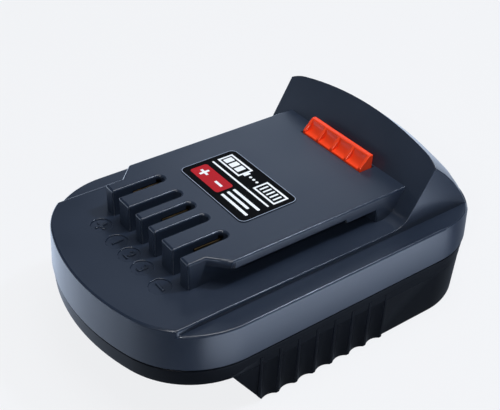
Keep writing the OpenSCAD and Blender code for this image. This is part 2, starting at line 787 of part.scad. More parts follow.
module lower_shell() {
    color("#1b2029") difference() {
        union() {
            difference() {
                union() {
                    rim_form();
                    skirt_form();
                }
                dock_hollow();
                translate([0, 0, floor_z])
                    linear_extrude(chin_h) outline(rim_inset + seam_depth + wall);
            }
            translate([-pocket_w / 2 - wall, pocket_y - wall, skirt_h])
                cube([pocket_w + 2 * wall, pocket_l + 2 * wall, pocket_depth + wall]);
            translate([0, 0, floor_z - cut]) {
                at_case_screws() cylinder(h = boss_top - floor_z + cut, d = boss_d);
                at_board_posts() cylinder(h = post_h + cut, d = post_d);
                at_ears() cylinder(h = ear_z - floor_z + cut, d = ear_post_d);
                at_springs() cylinder(h = cut + pin_h, d = spring_d - 2 * spring_wire - 2 * run_gap);
            }
        }
        translate([-pocket_w / 2, pocket_y, skirt_h - cut])
            cube([pocket_w, pocket_l, pocket_depth + cut]);
        translate([-term_w / 2 - seat_gap, term_front - seat_gap, skirt_h - cut])
            cube([term_w + 2 * seat_gap, term_l + 2 * seat_gap, wall + 2 * cut]);
        translate([0, 0, skirt_h - cut]) at_case_screws() {
            cylinder(h = boss_top - skirt_h + 2 * cut, d = case_screw_d + 2 * run_gap);
            cylinder(h = case_seat_z - skirt_h + cut, d = case_head_d + 2 * run_gap);
        }
        translate([0, 0, board_z - small_bite - hole_spare]) at_board_posts()
            cylinder(h = small_bite + hole_spare + cut, d = small_screw_d + 2 * seat_gap);
        translate([0, 0, ear_z - small_bite - hole_spare]) at_ears()
            cylinder(h = small_bite + hole_spare + cut, d = small_screw_d + 2 * seat_gap);
    }
}

// Side profile of the latch: upright back, bar on top, ramp to the front, stem below the plate
module latch_profile() {
    polygon([[latch_front, cup_low], [latch_back, cup_low], [latch_back, latch_top],
             [latch_back - latch_bar, latch_top], [latch_front, plate_z + latch_toe]]);
}

// Side profile of a cell: open to the front, with a rising floor and a steep back wall
module cell_profile() {
    cell_back = latch_back - latch_bar - cell_brow;
    polygon([[latch_front - cut, plate_z + cell_lip], [latch_front, plate_z + cell_lip],
             [latch_front + cell_run, plate_z + cell_rise], [cell_back, latch_top - cell_brow],
             [cell_back, latch_top + cut], [latch_front - cut, latch_top + cut]]);
}

module latch() {
    cell_w = (latch_w - (cell_count + 1) * cell_wall) / cell_count;
    color("#f8401a") difference() {
        union() {
            across(latch_w) latch_profile();
            translate([-latch_w / 2 - shoulder_w / 2, latch_front, shoulder_z - shoulder_t])
                cube([latch_w + shoulder_w, latch_d, shoulder_t]);
            at_springs() translate([0, 0, cup_low]) cylinder(h = cup_high - cup_low, d = cup_d);
            across(arm_w) polygon([[latch_y, arm_low], [ramp_back, arm_low], [ramp_back, ramp_low],
                [ramp_back - (ramp_top - ramp_low), ramp_top], [latch_y, ramp_top]]);
        }
        for (k = [0:cell_count - 1])
            across(cell_w, (k + 0.5 - cell_count / 2) * (cell_w + cell_wall)) cell_profile();
        at_springs() translate([0, 0, cup_low - cut])
            cylinder(h = spring_top - cup_low + cut, d = spring_d + 2 * run_gap);
    }
}

module release_button() {
    // Level of the flange's outer face and of its inner face inside the rear face
    outer = wall + flange_gap;
    inner = outer + flange_t;
    // Sum of y and height above the deck on the 45 degree line of the latch's ramp
    ramp_sum = ramp_back + ramp_low - deck_z + run_gap / sin(45);
    color("#f8401a") union() {
        difference() {
            intersection() {
                translate([-button_w / 2, ridge_y, button_z]) cube([button_w, far, button_h]);
                tail_flat(button_slope, -button_proud);
            }
            tail_flat(button_slope, inner - flange_t / 2);
        }
        difference() {
            intersection() {
                translate([-button_w / 2 - flange_edge, ridge_y, button_z - flange_edge])
                    cube([button_w + 2 * flange_edge, far, button_h + 2 * flange_edge]);
                tail_flat(button_slope, outer);
            }
            tail_flat(button_slope, inner);
        }
        intersection() {
            across(arm_w) translate([0, deck_z])
                polygon([[y_rear, 0], [ramp_sum, 0], [ramp_sum - finger_h, finger_h],
                         [y_rear, finger_h]]);
            tail_flat(button_slope, inner - flange_t / 2);
        }
    }
}

// Points of a latch spring between its seat on the floor and the top of the latch's cup: points
// in a turn, gap at both seats, and sides of the wire
spring_steps = 8;
spring_rest = 0.05;
spring_sides = 6;
function spring_points() = [for (i = [0:spring_steps * spring_turns])
    let (a = 360 * i / spring_steps, r = (spring_d - spring_wire) / 2,
         low = floor_z + spring_wire / 2 + spring_rest,
         high = spring_top - spring_wire / 2 - spring_rest)
    [r * cos(a), r * sin(a), low + (high - low) * i / (spring_steps * spring_turns)]];
spring_path = spring_points();
half_turn = spring_steps / 2;
spring_gap = min([for (i = [0:len(spring_path) - half_turn - 1],
                       j = [i + half_turn:len(spring_path) - 1])
    norm(spring_path[i] - spring_path[j])]) - spring_wire;
echo(str("least gap between a spring's turns: ", spring_gap, " mm"));

module latch_spring(side) {
    color("silver") translate([side * spring_x, latch_y, 0])
        tube(spring_path, spring_wire / 2, spring_sides);
}
module latch_spring_left() { latch_spring(-1); }
module latch_spring_right() { latch_spring(1); }

// Blade outline in Y and Z, grown for the slot that holds it
module blade_profile(gap) {
    translate([term_front - blade_l - gap, blade_z - gap])
        square([riser_back - term_front + blade_l + 2 * gap, blade_h + 2 * gap]);
    translate([riser_front - gap, blade_z - gap])
        square([riser_back - riser_front + 2 * gap, tail_z - blade_z + 2 * gap]);
}
module blade(x) { color("#c9a24a") across(blade_t, x) blade_profile(0); }
module blade_positive() { blade(-blade_x); }
module blade_negative() { blade(blade_x); }
module blade_signal() { blade(signal_x); }

module terminal_block() {
    color("#22262c") difference() {
        union() {
            translate([-term_w / 2, term_front, term_low])
                cube([term_w, term_l, term_top - term_low]);
            translate([-term_w / 2 - ear_l, term_y - ear_w / 2, ear_z])
                cube([term_w + 2 * ear_l, ear_w, ear_t]);
        }
        for (x = [-blade_x, blade_x, signal_x])
            across(blade_t + 2 * seat_gap, x) blade_profile(seat_gap);
        translate([0, 0, ear_z - cut]) at_ears()
            cylinder(h = ear_t + 2 * cut, d = small_screw_d + 2 * run_gap);
    }
}
module terminal_block_screws() {
    color("silver") translate([0, 0, term_top]) at_ears() mirror([0, 0, 1])
        screw(small_screw_d, ear_t + small_bite, small_head_d, small_head_h);
}

// Spring contact: a base under the deck and two leaves that close in on the tool's blade
module clip(x) {
    half = clip_w / 2;
    bend_z = (ceiling_z + clip_top) / 2;
    pinch_z = (bend_z + clip_top) / 2;
    tip = half - clip_flare;
    leaf = [[half, clip_base_z], [half, bend_z], [clip_pinch + clip_t, pinch_z], [tip, clip_top],
            [tip - clip_t, clip_top], [clip_pinch, pinch_z], [half - clip_t, bend_z],
            [half - clip_t, clip_base_z]];
    color("#c9a24a") translate([x, 0, 0]) {
        for (s = [0, 1]) mirror([s, 0, 0]) translate([0, clip_back, 0]) rotate([90, 0, 0])
            linear_extrude(clip_l) polygon(leaf);
        translate([-half, clip_front, clip_base_z]) cube([clip_w, clip_tail - clip_front, clip_t]);
    }
}
module clip_positive() { clip(-slot_outer_x); }
module clip_negative() { clip(slot_outer_x); }
module clip_signal() { clip(0); }

module contact_carrier() {
    color("#d8d4c8") difference() {
        translate([-slot_outer_x - carrier_edge, carrier_front, ceiling_z - carrier_t])
            cube([2 * (slot_outer_x + carrier_edge), carrier_back - carrier_front, carrier_t]);
        for (x = contacts_x)
            translate([x - clip_w / 2 - seat_gap, clip_front - seat_gap, clip_base_z])
                cube([clip_w + 2 * seat_gap, clip_l + cut, clip_t + seat_gap + cut]);
        translate([0, 0, ceiling_z - carrier_t - cut]) at_carrier_screws()
            cylinder(h = carrier_t + 2 * cut, d = small_screw_d + 2 * run_gap);
    }
}
module carrier_screws() {
    color("silver") translate([0, 0, ceiling_z - carrier_t]) at_carrier_screws()
        screw(small_screw_d, carrier_t + carrier_bite, small_head_d, small_head_h);
}

module circuit_board() {
    color("#1f6b3a") difference() {
        translate([-board_w / 2, board_front, board_z]) cube([board_w, board_l, board_t]);
        translate([0, 0, board_z - cut]) at_board_posts()
            cylinder(h = board_t + 2 * cut, d = small_screw_d + 2 * run_gap);
    }
}
module board_screws() {
    color("silver") translate([0, 0, board_top]) at_board_posts() mirror([0, 0, 1])
        screw(small_screw_d, board_t + small_bite, small_head_d, small_head_h);
}

// Cartridge fuse lying across the board in two spring holders
module fuse() {
    color("#e8e4d8") translate([-fuse_l / 2, fuse_y, fuse_z]) rotate([0, 90, 0]) {
        cylinder(h = fuse_l, d = fuse_d - fuse_step);
        for (x = [0, fuse_l - fuse_clip_l]) translate([0, 0, x]) cylinder(h = fuse_clip_l, d = fuse_d);
    }
}
module fuse_clips() {
    color("#c9a24a") for (x = [-fuse_l / 2, fuse_l / 2 - fuse_clip_l]) difference() {
        translate([x, fuse_y - fuse_d / 2 - fuse_clip_wall, board_top])
            cube([fuse_clip_l, fuse_d + 2 * fuse_clip_wall, fuse_z - board_top + fuse_d / 4]);
        translate([x - cut, fuse_y, fuse_z]) rotate([0, 90, 0])
            cylinder(h = fuse_clip_l + 2 * cut, d = fuse_d + seat_gap);
    }
}

module wire_positive() {
    color("#b3161b") {
        tube(rear_route(-blade_x, positive_lane, positive_pad, lead_r), lead_r, lead_sides);
        tube(front_route(positive_pad, -slot_outer_x, lead_r), lead_r, lead_sides);
    }
}
module wire_negative() {
    color("#17181a") {
        tube(rear_route(blade_x, negative_lane, negative_pad, lead_r), lead_r, lead_sides);
        tube(front_route(negative_pad, slot_outer_x, lead_r), lead_r, lead_sides);
    }
}
module wire_signal() {
    color("#d9b51c") {
        tube(rear_route(signal_x, signal_lane, signal_pad, signal_r), signal_r, lead_sides);
        tube(front_route(0, 0, signal_r), signal_r, lead_sides);
    }
}

module case_screws() {
    color("silver") translate([0, 0, case_seat_z]) at_case_screws()
        screw(case_screw_d, case_screw_l, case_head_d, case_head_h);
}

module label() {
    color("#101114") translate([label_x, label_y, plate_z]) linear_extrude(label_t) union() {
        square([label_w - 2 * label_r, label_l], center = true);
        square([label_w, label_l - 2 * label_r], center = true);
        for (x = [-1, 1], y = [-1, 1])
            translate([x * (label_w / 2 - label_r), y * (label_l / 2 - label_r)]) circle(label_r);
    }
}

upper_shell();
lower_shell();
latch();
release_button();
latch_spring_left();
latch_spring_right();
terminal_block();
terminal_block_screws();
blade_positive();
blade_negative();
blade_signal();
contact_carrier();
carrier_screws();
clip_positive();
clip_negative();
clip_signal();
circuit_board();
board_screws();
fuse();
fuse_clips();
wire_positive();
wire_negative();
wire_signal();
case_screws();
label();
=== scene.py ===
# Tool battery adapter: two moulded shells, a sprung orange latch with its release button, the
# contacts under the slots and the terminals in the battery dock, dressed and lit on a pale floor.
import math

import bmesh
import bpy
from mathutils import Matrix, Vector
from mathutils.bvhtree import BVHTree


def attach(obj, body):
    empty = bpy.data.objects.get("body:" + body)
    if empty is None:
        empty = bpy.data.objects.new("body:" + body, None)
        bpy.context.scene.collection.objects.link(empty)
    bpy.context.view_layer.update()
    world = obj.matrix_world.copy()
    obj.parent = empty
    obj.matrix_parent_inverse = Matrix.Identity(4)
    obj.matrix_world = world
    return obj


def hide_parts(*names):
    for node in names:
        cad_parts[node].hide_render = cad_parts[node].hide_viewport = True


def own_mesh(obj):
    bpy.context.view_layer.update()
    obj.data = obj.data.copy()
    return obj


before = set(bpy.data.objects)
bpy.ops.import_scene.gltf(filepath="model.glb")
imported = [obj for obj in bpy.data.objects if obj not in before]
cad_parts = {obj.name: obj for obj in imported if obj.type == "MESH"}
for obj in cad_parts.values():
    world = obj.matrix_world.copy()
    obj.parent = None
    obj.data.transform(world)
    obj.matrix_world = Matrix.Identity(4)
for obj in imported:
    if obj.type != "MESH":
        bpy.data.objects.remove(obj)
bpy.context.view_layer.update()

scene = bpy.context.scene

# The camera stands close above the front right corner, on a long lens, rolled a little.
# Azimuth, elevation, distance and lens were fitted to the outline of the object in the picture.
mm = 0.001
picture_w = 500
picture_h = 410
picture_axis_x = 241.8
picture_axis_y = 202.0
focal_px = 900.8
sensor_mm = 36.0
azimuth = math.radians(53.09)
elevation = math.radians(35.70)
roll = math.radians(2.01)
aim = Vector((0, -9.68, 32.4)) * mm
camera_offset = Vector((1.42, 2.57, 254.9)) * mm
back = Vector((math.sin(azimuth) * math.cos(elevation),
               -math.cos(azimuth) * math.cos(elevation), math.sin(elevation)))
level = Vector((math.cos(azimuth), math.sin(azimuth), 0))
upright = back.cross(level)
right = math.cos(roll) * level + math.sin(roll) * upright
up = math.cos(roll) * upright - math.sin(roll) * level
turn = Matrix((right, up, back)).transposed()
bpy.ops.object.select_all(action="DESELECT")
bpy.ops.object.camera_add()
camera = bpy.context.object
camera.name = "camera"
camera.matrix_world = Matrix.Translation(aim + turn @ camera_offset) @ turn.to_4x4()
camera.data.sensor_width = sensor_mm
camera.data.lens = focal_px / picture_w * sensor_mm
camera.data.shift_x = (picture_w / 2 - picture_axis_x) / picture_w
camera.data.shift_y = (picture_axis_y - picture_h / 2) / picture_w
camera.data.clip_start = 10 * mm
scene.camera = camera
scene.view_settings.view_transform = "Standard"


# The studio: a pale floor under soft light. Seen directly or in a reflection the floor and the
# air are pale; for the light itself the floor is plain matt, so the object's shadow stays on it.
def linear(hex_code):
    """Linear colour of an sRGB hex code."""
    parts = [int(hex_code[i:i + 2], 16) / 255 for i in (1, 3, 5)]
    return [p / 12.92 if p <= 0.04045 else ((p + 0.055) / 1.055) ** 2.4 for p in parts] + [1]


def add(tree, kind, inputs=None, **settings):
    """Adds a node to a tree, with its settings, and sets or links its inputs."""
    node = tree.nodes.new(kind)
    for name, value in settings.items():
        setattr(node, name, value)
    for name, value in (inputs or {}).items():
        if isinstance(value, bpy.types.NodeSocket):
            tree.links.new(value, node.inputs[name])
        else:
            node.inputs[name].default_value = value
    return node


def new_material(name):
    """Empty node material with its output."""
    material = bpy.data.materials.new(name)
    material.use_nodes = True
    material.node_tree.nodes.clear()
    return material, material.node_tree, add(material.node_tree, "ShaderNodeOutputMaterial")


floor_size = 6.0
floor_drop = 0.05 * mm
pale_paper = linear("#f3f4f6")
cool_paper = linear("#cfdef5")
paper_glow = 0.92
dark_end = 50 * mm
pale_end = -70 * mm
dark_end_change = -0.96
pale_end_change = 1.9
air_light = 0.20
air_top = 0.10
horizon_low = 0.02
horizon_high = 0.22

bpy.ops.mesh.primitive_plane_add(size=floor_size, location=(0, 0, -floor_drop))
floor = bpy.context.object
floor.name = "studio_floor"
floor_paper, tree, output = new_material("pale_studio_paper")
path = add(tree, "ShaderNodeLightPath")
glossy = path.outputs["Is Glossy Ray"]
seen = add(tree, "ShaderNodeMath", {0: path.outputs["Is Camera Ray"],
                                    1: path.outputs["Is Transmission Ray"]}, operation="MAXIMUM")
seen = add(tree, "ShaderNodeMath", {0: seen.outputs[0], 1: paper_glow}, operation="MULTIPLY")
glow = add(tree, "ShaderNodeMath", {0: seen.outputs[0], 1: glossy}, operation="MAXIMUM")
# In a reflection the floor falls off from the left to the right: a change is added to 1
place = add(tree, "ShaderNodeSeparateXYZ", {0: add(tree, "ShaderNodeTexCoord").outputs["Object"]})
fall = add(tree, "ShaderNodeMapRange", {"Value": place.outputs["X"], "From Min": dark_end,
                                        "From Max": pale_end, "To Min": dark_end_change,
                                        "To Max": pale_end_change})
strength = add(tree, "ShaderNodeMath", {0: glossy, 1: fall.outputs[0], 2: 1.0},
               operation="MULTIPLY_ADD")
tone = add(tree, "ShaderNodeMix", {"Factor": glossy, "A": pale_paper, "B": cool_paper},
           data_type="RGBA")
matt = add(tree, "ShaderNodeBsdfDiffuse", {"Color": pale_paper})
pale = add(tree, "ShaderNodeEmission", {"Color": tone.outputs["Result"],
                                        "Strength": strength.outputs[0]})
mixed = add(tree, "ShaderNodeMixShader",
            {"Fac": glow.outputs[0], 1: matt.outputs[0], 2: pale.outputs[0]})
tree.links.new(mixed.outputs[0], output.inputs["Surface"])
floor.data.materials.append(floor_paper)

air = bpy.data.worlds.new("studio_air")
scene.world = air
air.use_nodes = True
tree = air.node_tree
tree.nodes.clear()
path = add(tree, "ShaderNodeLightPath")
direction = add(tree, "ShaderNodeSeparateXYZ",
                {0: add(tree, "ShaderNodeTexCoord").outputs["Generated"]})
backdrop = add(tree, "ShaderNodeMapRange",
               {"Value": direction.outputs["Z"], "From Min": horizon_low,
                "From Max": horizon_high, "To Min": 1.0, "To Max": air_top})
mirrored = add(tree, "ShaderNodeMath", {0: path.outputs["Is Glossy Ray"],
                                        1: backdrop.outputs[0]}, operation="MULTIPLY")
unseen = add(tree, "ShaderNodeMath", {0: 1.0, 1: path.outputs["Is Glossy Ray"]},
             operation="SUBTRACT")
lit = add(tree, "ShaderNodeMath", {0: unseen.outputs[0], 1: air_light, 2: mirrored.outputs[0]},
          operation="MULTIPLY_ADD")
seen = add(tree, "ShaderNodeMath", {0: path.outputs["Is Camera Ray"],
                                    1: path.outputs["Is Transmission Ray"]}, operation="MAXIMUM")
dim = add(tree, "ShaderNodeBackground", {"Color": cool_paper, "Strength": lit.outputs[0]})
pale = add(tree, "ShaderNodeBackground", {"Color": pale_paper, "Strength": 1.0})
mixed = add(tree, "ShaderNodeMixShader",
            {"Fac": seen.outputs[0], 1: dim.outputs[0], 2: pale.outputs[0]})
tree.links.new(mixed.outputs[0], add(tree, "ShaderNodeOutputWorld").inputs["Surface"])


def softbox(name, towards, distance, width, power, tone):
    """Square studio light in a direction from the object, at a distance in metres."""
    place = aim + distance * Vector(towards).normalized()
    bpy.ops.object.light_add(type="AREA", location=place)
    lamp = bpy.context.object
    lamp.name = name
    lamp.data.size = width
    lamp.data.energy = power
    lamp.data.color = tone[:3]
    lamp.rotation_euler = (aim - place).to_track_quat("-Z", "Y").to_euler()
    return lamp


softbox("rear_left_softbox", (-0.65, 0.545, 0.53), 0.80, 0.30, 0.50, cool_paper)
softbox("overhead_softbox", (0.10, 0.10, 1.00), 0.80, 0.40, 3.8, pale_paper)
softbox("right_rear_lamp", (0.22, 0.49, 0.84), 0.80, 0.08, 3.0, cool_paper)
softbox("camera_lamp", (0.50, -0.66, 0.56), 0.60, 0.04, 0.9, pale_paper)
# A glowing card lies on the floor to the right and lights the body's right side from below
card_place = Vector((130, 10, 1)) * mm
floor_card = softbox("right_floor_card", (0, 0, 1), 0.1, 0.135, 0.215, cool_paper)
floor_card.location = card_place
floor_card.rotation_euler = (math.pi, 0, 0)
floor_card.visible_camera = False


# Upper shell: the slate cover with deck, slotted terminal block, winged slide plate and peak.
# ABS with a fine spark-eroded grain, injection moulded in one shot; its outer edges are
# rounded by the mould, and a little white dust lies on it.
edge_roughness = 0.25
flow_mm = 18
flow_shade = 0.08
flow_gloss = 0.03
noise_low = 0.3
noise_high = 0.7
plastic_ior = 1.53
speck_cell_mm = 7
speck_radius_mm = 0.1
merge_mm = 0.03
flat_angle = math.radians(0.1)
edge_angle = math.radians(25)
smooth_angle = math.radians(35)


def moulded_plastic(name, colour, roughness, specular, grain_mm, grain_height_mm, dust=0.0):
    """Injection moulded plastic: faint flow marks in colour and gloss, fine grain, some dust."""
    material, tree, output = new_material(name)
    place = add(tree, "ShaderNodeTexCoord").outputs["Object"]
    flow = add(tree, "ShaderNodeTexNoise",
               {"Vector": place, "Scale": 1 / (flow_mm * mm), "Detail": 3.0})
    grain = add(tree, "ShaderNodeTexNoise",
                {"Vector": place, "Scale": 1 / (grain_mm * mm), "Detail": 2.0})
    shade = add(tree, "ShaderNodeMapRange",
                {"Value": flow.outputs["Fac"], "From Min": noise_low, "From Max": noise_high,
                 "To Min": 1 - flow_shade, "To Max": 1 + flow_shade})
    grey = add(tree, "ShaderNodeCombineColor",
               {c: shade.outputs[0] for c in ("Red", "Green", "Blue")})
    tint = add(tree, "ShaderNodeMix", {"Factor": 1.0, "A": linear(colour), "B": grey.outputs[0]},
               data_type="RGBA", blend_type="MULTIPLY")
    body_colour = tint.outputs["Result"]
    if dust:
        # Round specks, one in every few cells: dust is the share of the cells that hold one
        specks = add(tree, "ShaderNodeTexVoronoi",
                     {"Vector": place, "Scale": 1 / (speck_cell_mm * mm)})
        near = add(tree, "ShaderNodeMath", {0: specks.outputs["Distance"],
                                            1: speck_radius_mm / speck_cell_mm},
                   operation="LESS_THAN")
        cell = add(tree, "ShaderNodeSeparateColor", {0: specks.outputs["Color"]})
        some = add(tree, "ShaderNodeMath", {0: cell.outputs[0], 1: dust}, operation="LESS_THAN")
        lint = add(tree, "ShaderNodeMath", {0: near.outputs[0], 1: some.outputs[0]},
                   operation="MULTIPLY")
        dusty = add(tree, "ShaderNodeMix", {"Factor": lint.outputs[0], "A": body_colour,
                                            "B": linear("#9aa5b4")}, data_type="RGBA")
        body_colour = dusty.outputs["Result"]
    gloss = add(tree, "ShaderNodeMapRange",
                {"Value": flow.outputs["Fac"], "From Min": noise_low, "From Max": noise_high,
                 "To Min": roughness - flow_gloss, "To Max": roughness + flow_gloss})
    # The mould's rounded edges carry no grain, so they shine more than the faces
    edge = add(tree, "ShaderNodeAttribute", attribute_name="rounded_edge")
    sheen = add(tree, "ShaderNodeMix", {"Factor": edge.outputs["Fac"], "A": gloss.outputs[0],
                                        "B": edge_roughness})
    bump = add(tree, "ShaderNodeBump", {"Height": grain.outputs["Fac"], "Strength": 1.0,
                                        "Distance": grain_height_mm * mm})
    shader = add(tree, "ShaderNodeBsdfPrincipled",
                 {"Base Color": body_colour, "Roughness": sheen.outputs["Result"],
                  "IOR": plastic_ior, "Specular IOR Level": specular, "Normal": bump.outputs[0]})
    tree.links.new(shader.outputs[0], output.inputs["Surface"])
    return material


def rounded_piece(node, radius_at, material, body, segments=3, floor=None):
    """Copy of a solid as one merged skin, its outer sharp edges rounded, which stands for it.

    A floor is a level with a half width and two ends, in mm: there the flat face is taken out
    while the edges that stand on it are rounded, and laid in again around their feet.
    """
    piece = bpy.data.objects.new(node + "_finished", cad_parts[node].data.copy())
    scene.collection.objects.link(piece)
    skin = bmesh.new()
    skin.from_mesh(piece.data)
    bmesh.ops.remove_doubles(skin, verts=skin.verts, dist=merge_mm * mm)
    # Only triangles of one flat face are joined, so gently bowed walls keep an even shine
    bmesh.ops.dissolve_limit(skin, angle_limit=flat_angle, verts=skin.verts, edges=skin.edges)
    skin.normal_update()
    if floor:
        level, half, near, far = [value * mm for value in floor]

        def flats():
            return [face for face in skin.faces if face.normal.z > 0.99
                    and abs(face.calc_center_median().z - level) < 0.02 * mm]

        for point, across in (((-half, 0, 0), (1, 0, 0)), ((half, 0, 0), (1, 0, 0)),
                              ((0, near, 0), (0, 1, 0)), ((0, far, 0), (0, 1, 0))):
            cut = set(flats())
            for face in list(cut):
                cut.update(face.edges)
                cut.update(face.verts)
            bmesh.ops.bisect_plane(skin, geom=list(cut), plane_co=point, plane_no=across)
        middles = [(face, face.calc_center_bounds()) for face in flats()]
        inside = [face for face, middle in middles
                  if abs(middle.x) < half and near < middle.y < far]
        bmesh.ops.delete(skin, geom=inside, context="FACES")
    # An edge that faces another wall of its own piece is an inner one and stays sharp
    walls = BVHTree.FromBMesh(skin)
    weight = skin.edges.layers.float.new("bevel_weight_edge")
    for edge in skin.edges:
        if edge.calc_face_angle_signed(0) < edge_angle:
            continue
        middle = (edge.verts[0].co + edge.verts[1].co) / 2
        facing = (edge.link_faces[0].normal + edge.link_faces[1].normal).normalized()
        if walls.ray_cast(middle + 0.02 * mm * facing, facing)[0] is None:
            edge[weight] = radius_at(middle / mm)
    skin.to_mesh(piece.data)
    skin.free()
    bpy.ops.object.select_all(action="DESELECT")
    piece.select_set(True)
    bpy.context.view_layer.objects.active = piece
    bevel = piece.modifiers.new("rounded_edges", "BEVEL")
    bevel.limit_method = "WEIGHT"
    bevel.width = 1 * mm
    bevel.segments = segments
    bevel.use_clamp_overlap = False
    bevel.loop_slide = False
    # The second place for a material only marks the faces of the rounded edges
    piece.data.materials.clear()
    piece.data.materials.append(material)
    piece.data.materials.append(material)
    bevel.material = 1
    bpy.ops.object.modifier_apply(modifier=bevel.name)
    marks = piece.data.attributes.new("rounded_edge", "FLOAT", "FACE")
    for face in piece.data.polygons:
        marks.data[face.index].value = face.material_index
        face.material_index = 0
    piece.data.materials.pop()
    if floor:
        skin = bmesh.new()
        skin.from_mesh(piece.data)
        feet = [edge for edge in skin.edges if edge.is_boundary]
        laid = bmesh.ops.holes_fill(skin, edges=feet, sides=0)["faces"]
        skin.normal_update()
        for face in laid:
            if face.normal.z < 0:
                face.normal_flip()
        skin.to_mesh(piece.data)
        skin.free()
    bpy.ops.object.shade_smooth_by_angle(angle=smooth_angle)
    even = piece.modifiers.new("even_faces", "WEIGHTED_NORMAL")
    even.keep_sharp = True
    bpy.ops.object.modifier_apply(modifier=even.name)
    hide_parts(node)
    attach(piece, body)


deck_z = 32.4
plate_z = 40.8
parting_z = 19.9
ridge_z = 52.0
deck_edge = 31.8
fins_rear = -24.25
latch_hole_front = 23.5
latch_hole_half = 13.5
peak_foot_z = ridge_z - 4
step_front = 30
disc_half = 20
disc_front = -50
disc_rear = -40
near_level = 0.1
fine_edge = 0.2
wing_edge = 0.55
fin_top_edge = 0.65
fin_side_edge = 0.6
cover_edge = 0.65
fin_feet = (deck_z, 21.6, -40.7, -36.5)


def shell_radius(p):
    """Edge radius in mm of the upper shell at a place in mm."""
    if plate_z - near_level < p.z < plate_z + near_level:
        if p.y < fins_rear + near_level:
            return fin_top_edge
        if p.y > latch_hole_front and abs(p.x) < latch_hole_half:
            return fine_edge
        return wing_edge
    if p.z > deck_z + near_level and p.y < fins_rear:
        return fin_side_edge
    on_peak = p.z > peak_foot_z or (p.z > deck_z and abs(p.x) > deck_edge - near_level)
    on_seam = p.z < parting_z + near_level
    on_disc = (p.z < deck_z + near_level and abs(p.x) < disc_half
               and disc_front < p.y < disc_rear)
    on_step = p.y > step_front and p.z < deck_z - 3 * near_level
    return fine_edge if on_peak or on_seam or on_disc or on_step else cover_edge


slate_abs = moulded_plastic("slate_moulded_abs", "#212936", 0.36, 0.5, 0.5, 0.004, dust=0.12)
rounded_piece("upper_shell", shell_radius, slate_abs, "housing", floor=fin_feet)

# Contact numbers: plain raised figures in the three inner discs, between the plus and the minus.
# They are cut in the cover's mould, so they are of its plastic and about as high as the deck.
disc_y = -44.55
disc_floor = 32.0
disc_pitch = 6.6
figure_h = 3.4
type_size = 1.35 * figure_h
figure_rise = 0.36
figure_edge = 0.05
for figure, x in (("1", -disc_pitch), ("2", 0.0), ("3", disc_pitch)):
    bpy.ops.object.select_all(action="DESELECT")
    bpy.ops.object.text_add(location=(x * mm, disc_y * mm, (disc_floor + figure_rise / 2) * mm))
    number = bpy.context.object
    number.data.body = figure
    number.data.size = type_size * mm
    number.data.align_x = "CENTER"
    number.data.align_y = "CENTER"
    number.data.extrude = figure_rise / 2 * mm
    number.data.bevel_depth = figure_edge * mm
    bpy.ops.object.convert(target="MESH")
    bpy.ops.object.transform_apply(location=True, rotation=True, scale=True)
    number = bpy.context.object
    number.name = "contact_number_" + figure
    bpy.ops.object.mode_set(mode="EDIT")
    bpy.ops.mesh.select_all(action="SELECT")
    bpy.ops.mesh.remove_doubles(threshold=0.01 * mm)
    bpy.ops.object.mode_set(mode="OBJECT")
    bpy.ops.object.shade_smooth_by_angle(angle=smooth_angle)
    number.data.materials.append(slate_abs)
    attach(number, "housing")


# Contact clips: three spring contacts under the slots, each with two leaves that grip a blade.
# Stamped and folded from rolled brass strip, which has fine streaks along its length. Its colour
# is darkened far below bright brass, as painted shade for the shade inside the slots.
streak_stretch = 0.04
streak_height_mm = 0.003
streak_gloss = 0.08
stain_mm = 3
stain_shade = 0.82


def sheet_metal(name, colour, roughness, streak_mm):
    """Rolled or drawn metal: fine streaks in gloss and height along Y, and some tarnish."""
    material, tree, output = new_material(name)
    place = add(tree, "ShaderNodeTexCoord").outputs["Object"]
    drawn = add(tree, "ShaderNodeMapping", {"Vector": place, "Scale": (1.0, streak_stretch, 1.0)})
    streak = add(tree, "ShaderNodeTexNoise", {"Vector": drawn.outputs[0],
                                              "Scale": 1 / (streak_mm * mm), "Detail": 3.0})
    stain = add(tree, "ShaderNodeTexNoise",
                {"Vector": place, "Scale": 1 / (stain_mm * mm), "Detail": 4.0})
    shade = add(tree, "ShaderNodeMapRange",
                {"Value": stain.outputs["Fac"], "From Min": noise_low, "From Max": noise_high,
                 "To Min": stain_shade, "To Max": 1.0})
    grey = add(tree, "ShaderNodeCombineColor",
               {c: shade.outputs[0] for c in ("Red", "Green", "Blue")})
    tint = add(tree, "ShaderNodeMix", {"Factor": 1.0, "A": linear(colour), "B": grey.outputs[0]},
               data_type="RGBA", blend_type="MULTIPLY")
    gloss = add(tree, "ShaderNodeMapRange",
                {"Value": streak.outputs["Fac"], "From Min": noise_low, "From Max": noise_high,
                 "To Min": roughness - streak_gloss, "To Max": roughness + streak_gloss})
    bump = add(tree, "ShaderNodeBump", {"Height": streak.outputs["Fac"], "Strength": 1.0,
                                        "Distance": streak_height_mm * mm})
    shader = add(tree, "ShaderNodeBsdfPrincipled",
                 {"Base Color": tint.outputs["Result"], "Metallic": 1.0,
                  "Roughness": gloss.outputs[0], "Normal": bump.outputs[0]})
    tree.links.new(shader.outputs[0], output.inputs["Surface"])
    return material


clip_radius = 0.1
# Painted shade: the clips' brass colour is made dark to stand for the shade in the slots
slot_shade_dark_brass = sheet_metal("contact_brass_darkened_for_slot_shade", "#3d3120", 0.48, 0.25)
for clip in ("clip_positive", "clip_signal", "clip_negative"):
    rounded_piece(clip, lambda p: clip_radius, slot_shade_dark_brass, "housing", segments=2)

# Contact carrier: the plate that presses the clips up under the deck, held by two screws.
# Polyester (PBT) in its natural ivory, moulded with a dull grain.
ivory_pbt = moulded_plastic("ivory_moulded_pbt", "#cfc8b4", 0.45, 0.5, 0.4, 0.004)
carrier_edge = 0.3
rounded_piece("contact_carrier", lambda p: carrier_edge, ivory_pbt, "housing")

